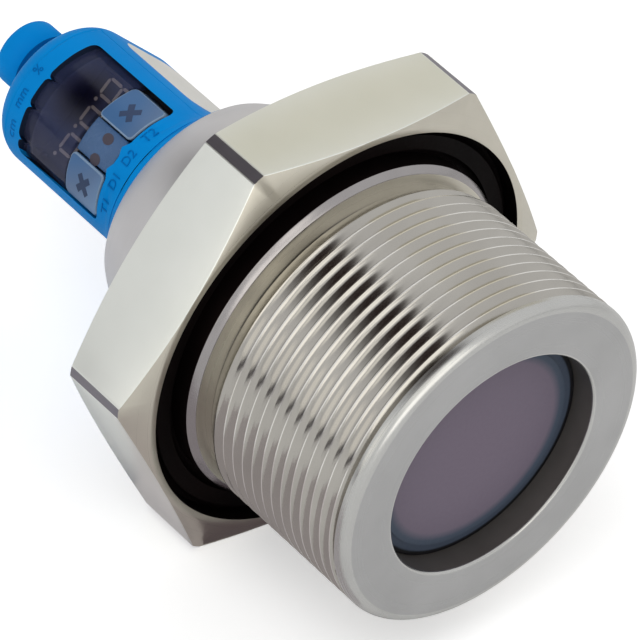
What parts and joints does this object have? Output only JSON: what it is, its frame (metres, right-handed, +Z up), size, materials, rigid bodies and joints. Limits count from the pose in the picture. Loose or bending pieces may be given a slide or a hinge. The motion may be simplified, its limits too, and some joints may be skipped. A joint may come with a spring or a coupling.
{
  "type": "level switch",
  "caption": "Ultrasonic level switch: threaded steel process body with a hexagon and seal, domed neck, and a plastic head with display, push keys and a round plug.",
  "frame": {"origin": "on the axis of the process thread, where its first turn starts, just behind the sensing face", "axes": "+Y along the axis from the sensing face to the plug, so the part senses towards -Y; +Z up, square to the hexagon flat that is on top; +X completes a right-handed frame. The part lies on the opposite flat of the hexagon."},
  "size_m": [0.0854, 0.1178, 0.075],
  "materials": {
    "stainless_steel": "satin turned and milled stainless steel",
    "seal_rubber": "smooth black elastomer",
    "cup_plastic": "moulded dark plastic",
    "sensor_face": "smooth purple-grey resin",
    "soft_ring": "smooth blue-grey elastomer",
    "ceramic": "fired ceramic with silvered faces",
    "damping_foam": "soft sound-deadening foam",
    "plain_steel": "bare",
    "lead_sleeve": "smooth sleeve",
    "head_blue": "satin blue moulding",
    "smoked_lens": "polished smoked lens",
    "key_clear": "translucent moulding",
    "frame_black": "matte black moulding",
    "lamp_amber": "clear amber resin, unlit",
    "board_green": "solder-masked board",
    "ferrite": "ferrite core",
    "gilt_brass": "gilt"
  },
  "bodies": {
    "sensor": {"process_body": "stainless_steel", "neck_dome": "stainless_steel", "process_seal": "seal_rubber", "transducer_cup": "cup_plastic", "matching_layer": "sensor_face", "face_ring": "soft_ring", "piezo_disc": "ceramic", "damping_block": "damping_foam", "cup_o_ring": "seal_rubber", "clamp_washer": "plain_steel", "clamp_nut": "plain_steel", "sensor_lead": "lead_sleeve", "head_housing": "head_blue", "display_bezel": "head_blue", "head_o_ring": "seal_rubber", "display_window": "smoked_lens", "key_bridge": "key_clear", "key_carrier": "frame_black", "digit_display": "frame_black", "status_leds": "lamp_amber", "unit_leds": "lamp_amber", "key_switches": "frame_black", "main_board": "board_green", "processor_chip": "frame_black", "drive_transformer": "ferrite", "link_board": "board_green", "plug_insert": "frame_black", "contact_pins": "gilt_brass"},
    "key_t1": {"key_t1": "key_clear"},
    "key_t2": {"key_t2": "key_clear"}
  },
  "joints": [
    {"name": "key_t1_press", "type": "slide", "parent": "sensor", "child": "key_t1", "axis": [0.761, 0, -0.6488], "range_m": [0, 0.00035], "stiffness_N_per_m": 400, "springref_m": -0.0005},
    {"name": "key_t2_press", "type": "slide", "parent": "sensor", "child": "key_t2", "axis": [0.761, 0, -0.6488], "range_m": [0, 0.00035], "stiffness_N_per_m": 400, "springref_m": -0.0005}
  ]
}
